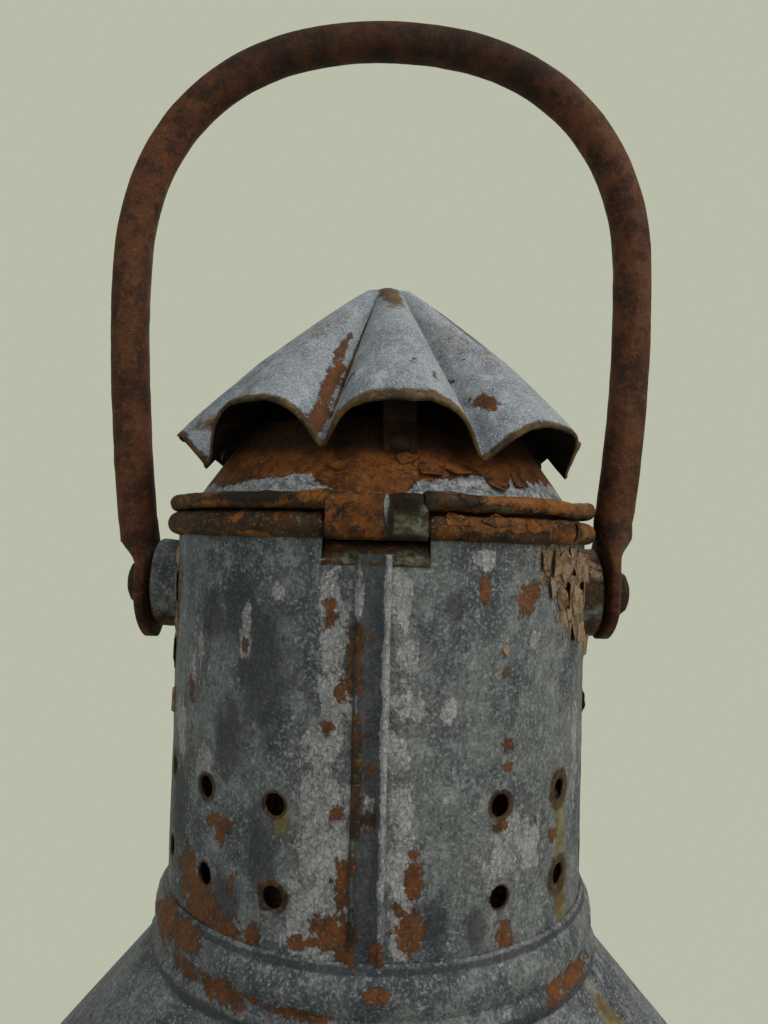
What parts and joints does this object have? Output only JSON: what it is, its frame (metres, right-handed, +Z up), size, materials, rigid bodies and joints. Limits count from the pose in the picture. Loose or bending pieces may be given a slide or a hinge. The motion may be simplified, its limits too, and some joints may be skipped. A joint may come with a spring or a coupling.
{
  "type": "ship lamp",
  "caption": "All-round ship's oil lantern: glass lens between deck and shoulder, vented chimney, hinged lid with a fluted cap, swinging bail, lift-out font and burner.",
  "frame": {"origin": "centre of the foot, on the surface the lantern stands on", "axes": "+Z up along the lantern's axis, -Y towards the lid's hinge (the side the picture shows), +X towards one bail pivot"},
  "size_m": [0.2364, 0.2364, 0.5547],
  "materials": {
    "zinc_sheet": "weathered zinc coating, dull",
    "rusted_sheet": "zinc worn through to matt rust",
    "zinc_wire": "weathered zinc coating, dull",
    "zinc_rivets": "weathered zinc coating, dull",
    "forged_iron": "matt rust over old zinc",
    "red_lead_strap": "worn red-lead paint",
    "lens_glass": "clear, pressed",
    "cork_gasket": "matt cork",
    "burner_brass": "dull, tarnished",
    "tinned_font": "tinned, dull",
    "woven_wick": "woven cotton"
  },
  "bodies": {
    "lantern": {"base_drum": "zinc_sheet", "foot_ring": "rusted_sheet", "base_floor": "rusted_sheet", "base_deck": "zinc_sheet", "lens_ring": "zinc_sheet", "lower_gasket": "cork_gasket", "upper_gasket": "cork_gasket", "lens": "lens_glass", "tie_rods": "zinc_wire", "tie_rod_nuts": "zinc_wire", "guard_hoops": "zinc_wire", "shoulder": "zinc_sheet", "chimney": "zinc_sheet", "rim_wire": "zinc_wire", "collar": "zinc_sheet", "draught_sleeve": "rusted_sheet", "bail_bosses": "zinc_rivets", "pivot_washers": "zinc_rivets", "bail_pivots": "zinc_rivets", "font_seat": "rusted_sheet"},
    "lid": {"lid_shell": "zinc_sheet", "lid_spigot": "zinc_sheet", "hinge_strap": "red_lead_strap", "lift_tab": "zinc_sheet", "fluted_cap": "zinc_sheet", "smoke_deflector": "rusted_sheet", "cap_stud": "zinc_rivets", "stud_spacer": "rusted_sheet", "cap_brackets": "rusted_sheet", "bracket_rivets": "zinc_rivets"},
    "bail": {"bail": "forged_iron"},
    "font": {"font_tank": "tinned_font", "font_head": "tinned_font", "lifting_loop": "zinc_wire", "filler_neck": "burner_brass", "burner_collar": "burner_brass", "gallery": "burner_brass", "wick_tube": "burner_brass", "flame_dome": "burner_brass"},
    "filler_cap": {"filler_cap": "burner_brass", "filler_washer": "cork_gasket"},
    "wick": {"wick": "woven_wick"},
    "wick_spindle": {"wick_spindle": "burner_brass", "wick_knob": "burner_brass"}
  },
  "joints": [
    {"name": "bail_swing", "type": "hinge", "parent": "lantern", "child": "bail", "pos_m": [0, 0, 0.3879], "axis": [1, 0, 0], "range_deg": [-140, 140]},
    {"name": "lid_hinge", "type": "hinge", "parent": "lantern", "child": "lid", "pos_m": [-0.0012, -0.05563, 0.4045], "axis": [1, 0, 0], "range_deg": [0, 130]},
    {"name": "font_lift", "type": "slide", "parent": "lantern", "child": "font", "axis": [0, 0, 1], "range_m": [0, 0.19]},
    {"name": "filler_turn", "type": "hinge", "parent": "font", "child": "filler_cap", "pos_m": [-0.032, 0, 0.0862], "axis": [0, 0, 1], "range_deg": [0, 540]},
    {"name": "wick_turn", "type": "hinge", "parent": "font", "child": "wick_spindle", "pos_m": [0, -0.0055, 0.1022], "axis": [1, 0, 0], "range_deg": [-57, 86]},
    {"name": "wick_rise", "type": "slide", "parent": "font", "child": "wick", "axis": [0, 0, 1], "range_m": [-0.0041, 0.0061]}
  ],
  "couplings": [
    {"joint": "wick_rise", "follows": "wick_turn", "m_per_rad": 0.004}
  ]
}
